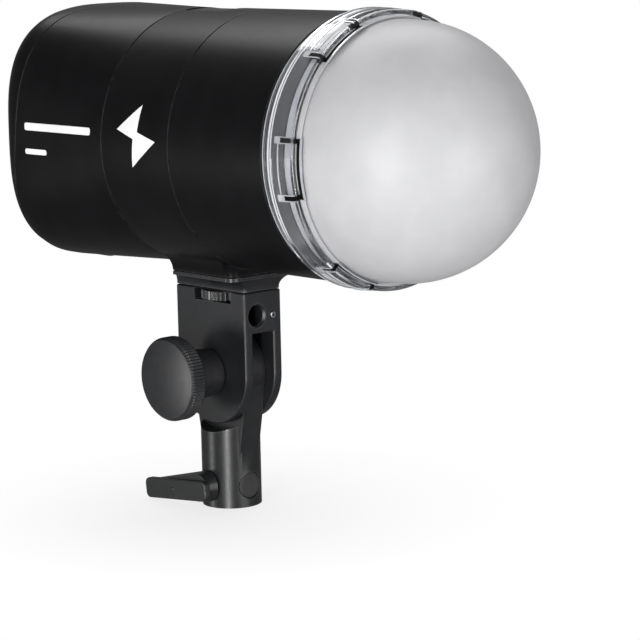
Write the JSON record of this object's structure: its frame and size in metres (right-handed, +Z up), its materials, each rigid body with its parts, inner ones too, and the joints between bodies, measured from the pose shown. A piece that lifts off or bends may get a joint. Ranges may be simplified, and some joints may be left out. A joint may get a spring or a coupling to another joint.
{
  "type": "monolight strobe",
  "caption": "Battery monolight flash head with a frosted dome in a clear ring, a rear screen and a tilting bracket that clamps on a stand spigot.",
  "frame": {"origin": "centre of the seat at the blind end of the stand socket, on the socket's axis", "axes": "+Z up along the socket's axis, -Y the way the flash fires, -X the side with the tilt knob and the clamp lever"},
  "size_m": [0.1048, 0.2386, 0.2033],
  "materials": {
    "shell": "fine matt moulding",
    "bracket": "satin black coating",
    "knob": "matt, ribbed grip",
    "clear": "clear polished plastic",
    "frosted": "frosted translucent white",
    "steel": "turned steel",
    "brass": "turned brass",
    "screen": "dark glossy glass",
    "rubber": "matt black rubber",
    "mirror": "bright reflector",
    "tube_glass": "clear glass tube",
    "board": "green circuit board",
    "ceramic": "off-white ceramic, matt",
    "sleeve": "printed sleeve, plain blue",
    "aluminium": "machined aluminium",
    "led": "yellow phosphor dome"
  },
  "bodies": {
    "stand_mount": {"stand_mount": "bracket", "spigot_stop_screw": "steel", "socket_plug": "rubber", "friction_washer_left": "brass", "friction_washer_right": "brass"},
    "head": {"rear_shell": "shell", "rear_cover": "shell", "middle_shell": "shell", "front_shell": "shell", "sensor_window": "screen", "display_glass": "screen", "display_module": "shell", "usb_port": "steel", "sync_jack": "shell", "front_bezel": "shell", "reflector": "mirror", "flash_tube": "tube_glass", "tube_socket": "ceramic", "led_board": "board", "led_lens": "led", "led_heatsink": "aluminium", "bulkhead": "aluminium", "capacitor_1": "sleeve", "capacitor_2": "sleeve", "capacitor_3": "sleeve", "capacitor_4": "sleeve", "main_board": "board", "control_board": "board", "battery_holder": "shell", "battery_cell_1": "sleeve", "battery_cell_2": "sleeve", "battery_cell_3": "sleeve", "battery_cell_4": "sleeve", "fan_frame": "shell", "fork_arm": "bracket", "saddle_plate": "bracket", "tilt_nut": "steel", "neck_insert": "brass", "saddle_dowel_front": "steel", "saddle_dowel_rear": "steel"},
    "dome_cap": {"dome": "frosted", "dome_ring": "clear"},
    "port_flap": {"port_flap": "rubber"},
    "power_button": {"power_button": "knob"},
    "test_button": {"test_button": "knob"},
    "fan_rotor": {"fan_rotor": "shell"},
    "thumbwheel": {"thumbwheel": "knob", "mounting_screw": "steel"},
    "umbrella_screw": {"umbrella_screw": "steel"},
    "tilt_knob": {"tilt_knob": "knob", "tilt_bolt": "steel"},
    "clamp_lever": {"clamp_lever": "bracket", "clamp_screw": "steel"},
    "clamp_pad": {"clamp_pad": "brass"}
  },
  "joints": [
    {"name": "head_tilt", "type": "hinge", "parent": "stand_mount", "child": "head", "pos_m": [0, 0, 0.027], "axis": [1, 0, 0], "range_deg": [-90, 90]},
    {"name": "tilt_knob_turn", "type": "hinge", "parent": "head", "child": "tilt_knob", "pos_m": [0, 0, 0.027], "axis": [-1, 0, 0], "continuous": true},
    {"name": "thumbwheel_turn", "type": "hinge", "parent": "head", "child": "thumbwheel", "pos_m": [0, -0.0015, 0.0586], "axis": [0, 0, 1], "continuous": true},
    {"name": "umbrella_screw_turn", "type": "hinge", "parent": "head", "child": "umbrella_screw", "pos_m": [0.0052, -0.022, 0.051], "axis": [0, -1, 0], "continuous": true},
    {"name": "dome_slide", "type": "slide", "parent": "head", "child": "dome_cap", "axis": [0, -1, 0], "range_m": [0, 0.07]},
    {"name": "port_flap_open", "type": "hinge", "parent": "head", "child": "port_flap", "pos_m": [0, 0.0574, 0.0703], "axis": [-1, 0, 0], "range_deg": [0, 100]},
    {"name": "power_button_press", "type": "slide", "parent": "head", "child": "power_button", "axis": [0, -1, 0], "range_m": [0, 0.001], "stiffness_N_per_m": 400},
    {"name": "test_button_press", "type": "slide", "parent": "head", "child": "test_button", "axis": [0, -1, 0], "range_m": [0, 0.001], "stiffness_N_per_m": 400},
    {"name": "fan_spin", "type": "hinge", "parent": "head", "child": "fan_rotor", "pos_m": [0, -0.0435, 0.122], "axis": [0, 1, 0], "continuous": true},
    {"name": "clamp_lever_turn", "type": "hinge", "parent": "stand_mount", "child": "clamp_lever", "pos_m": [0, 0, -0.02], "axis": [1, 0, 0], "range_deg": [-270, 90]},
    {"name": "clamp_pad_slide", "type": "slide", "parent": "stand_mount", "child": "clamp_pad", "axis": [1, 0, 0], "range_m": [-0.0008, 0.0003]}
  ],
  "couplings": [
    {"joint": "clamp_pad_slide", "follows": "clamp_lever_turn", "m_per_rad": 0.00015915}
  ]
}
